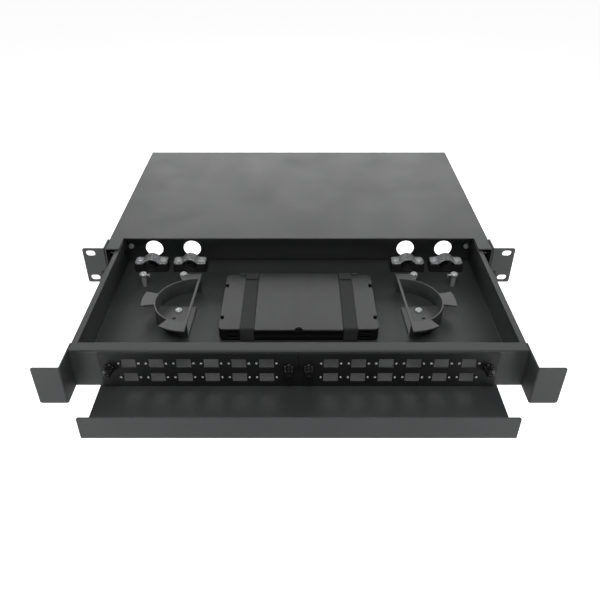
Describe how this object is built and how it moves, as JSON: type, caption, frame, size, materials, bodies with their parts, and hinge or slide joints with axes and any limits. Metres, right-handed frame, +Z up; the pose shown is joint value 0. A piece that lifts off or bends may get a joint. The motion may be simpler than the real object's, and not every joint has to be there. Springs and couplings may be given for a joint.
{
  "type": "fiber termination box",
  "caption": "Rack-mount fibre termination box: a flat steel sleeve with a sliding drawer that holds splice trays and spools behind panels of adapter ports and a front cable tray.",
  "frame": {"origin": "centre of the four rack slots, on the front faces of the ears", "axes": "+X to the right seen from the front, +Y to the back of the rack, +Z up; the drawer is pulled out towards -Y at rest"},
  "size_m": [0.4826, 0.5216, 0.044],
  "materials": {
    "powder_coat": "fine-textured black powder coat on sheet steel",
    "panel_coat": "smoother, darker black powder coat",
    "slide_steel": "black zinc plate on rolled steel",
    "zinc": "bright zinc plate",
    "chrome": "polished nickel chrome",
    "black_plastic": "moulded black ABS, fine spark-eroded grain",
    "comb_plastic": "dark grey elastomer",
    "strap_fabric": "black hook-and-loop webbing"
  },
  "bodies": {
    "chassis": {"sleeve_cover": "powder_coat", "rear_tie": "powder_coat", "tie_rivets": "zinc", "ear_left": "powder_coat", "ear_right": "powder_coat", "ear_screws": "slide_steel", "ear_plugs": "black_plastic", "slide_outer_left": "slide_steel", "slide_outer_right": "slide_steel", "slide_outer_screws": "slide_steel"},
    "ball_cage_left": {"ball_cage_left": "slide_steel", "slide_balls_left": "chrome"},
    "ball_cage_right": {"ball_cage_right": "slide_steel", "slide_balls_right": "chrome"},
    "latch_1": {"latch_plunger_1": "black_plastic"},
    "latch_2": {"latch_plunger_2": "black_plastic"},
    "latch_3": {"latch_plunger_3": "black_plastic"},
    "latch_4": {"latch_plunger_4": "black_plastic"},
    "drawer": {"slide_inner_left": "slide_steel", "slide_inner_right": "slide_steel", "slide_inner_screws": "slide_steel", "drawer_pan": "powder_coat", "drawer_rear": "powder_coat", "corner_screws": "chrome", "drawer_front": "powder_coat", "bracket_left": "powder_coat", "bracket_right": "powder_coat", "bracket_screws": "zinc", "front_tray": "powder_coat", "tray_screws": "slide_steel", "adapter_panel_left": "panel_coat", "adapter_panel_right": "panel_coat", "adapter_nuts_left": "zinc", "adapter_nuts_right": "zinc", "latch_grommets": "black_plastic", "clamp_blocks": "black_plastic", "cable_saddles": "chrome", "saddle_screws": "chrome", "strength_posts": "zinc", "post_tags": "zinc", "post_screws": "chrome", "spool_left": "black_plastic", "spool_right": "black_plastic", "spool_screws": "chrome", "splice_tray_lower": "black_plastic", "splice_tray_upper": "black_plastic", "splice_combs": "comb_plastic", "splice_cover": "black_plastic", "strap_left": "strap_fabric", "strap_right": "strap_fabric"}
  },
  "joints": [
    {"name": "drawer_slide", "type": "slide", "parent": "chassis", "child": "drawer", "axis": [0, 1, 0], "range_m": [0, 0.1935]},
    {"name": "ball_cage_left_roll", "type": "slide", "parent": "chassis", "child": "ball_cage_left", "axis": [0, 1, 0], "range_m": [0, 0.09675]},
    {"name": "ball_cage_right_roll", "type": "slide", "parent": "chassis", "child": "ball_cage_right", "axis": [0, 1, 0], "range_m": [0, 0.09675]},
    {"name": "latch_1_pull", "type": "slide", "parent": "drawer", "child": "latch_1", "axis": [0, -1, 0], "range_m": [0, 0.005]},
    {"name": "latch_2_pull", "type": "slide", "parent": "drawer", "child": "latch_2", "axis": [0, -1, 0], "range_m": [0, 0.005]},
    {"name": "latch_3_pull", "type": "slide", "parent": "drawer", "child": "latch_3", "axis": [0, -1, 0], "range_m": [0, 0.005]},
    {"name": "latch_4_pull", "type": "slide", "parent": "drawer", "child": "latch_4", "axis": [0, -1, 0], "range_m": [0, 0.005]}
  ],
  "couplings": [
    {"joint": "ball_cage_left_roll", "follows": "drawer_slide", "ratio": 0.5},
    {"joint": "ball_cage_right_roll", "follows": "drawer_slide", "ratio": 0.5}
  ]
}
